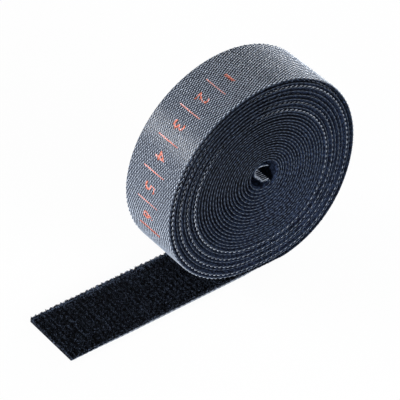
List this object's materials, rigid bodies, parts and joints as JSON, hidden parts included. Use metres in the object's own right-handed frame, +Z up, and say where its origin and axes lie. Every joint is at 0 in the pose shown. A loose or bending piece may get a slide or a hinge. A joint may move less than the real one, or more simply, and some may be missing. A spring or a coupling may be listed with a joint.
{
  "type": "hook and loop tape roll",
  "caption": "Coreless roll of back-to-back hook and loop tape standing on its rim, with a flat tail that lifts and gets longer as the roll turns and pays out tape.",
  "frame": {"origin": "on the table, straight under the roll's axis, at the middle of the tape's width, on the underside of the tail", "axes": "+Z up, Y along the roll's axis and across the tape, the tail lies along -X"},
  "size_m": [0.0997, 0.02, 0.0659],
  "materials": {
    "hook_ply": "satin",
    "loop_ply": "matte"
  },
  "bodies": {
    "tail": {"tail_hook_ply": "hook_ply", "tail_loop_ply": "loop_ply"},
    "tail_end": {"tail_end_hook_ply": "hook_ply", "tail_end_loop_ply": "loop_ply"},
    "lead_out": {"lead_out_hook_ply": "hook_ply", "lead_out_loop_ply": "loop_ply"},
    "roll": {"roll_hook_ply": "hook_ply", "roll_loop_ply": "loop_ply"}
  },
  "joints": [
    {"name": "tail_lift", "type": "hinge", "parent": "tail", "child": "tail_end", "pos_m": [-0.03, 0, 0.0009], "axis": [0, 1, 0], "range_deg": [0, 80]},
    {"name": "roll_travel", "type": "slide", "parent": "tail", "child": "lead_out", "axis": [1, 0, 0], "range_m": [0, 0.0258]},
    {"name": "roll_turn", "type": "hinge", "parent": "lead_out", "child": "roll", "pos_m": [0, 0, 0.0325], "axis": [0, 1, 0], "range_deg": [0, 44], "deforming": ["lead_out_hook_ply", "lead_out_loop_ply"]}
  ],
  "couplings": [
    {"joint": "roll_travel", "follows": "roll_turn", "m_per_rad": 0.03355}
  ]
}
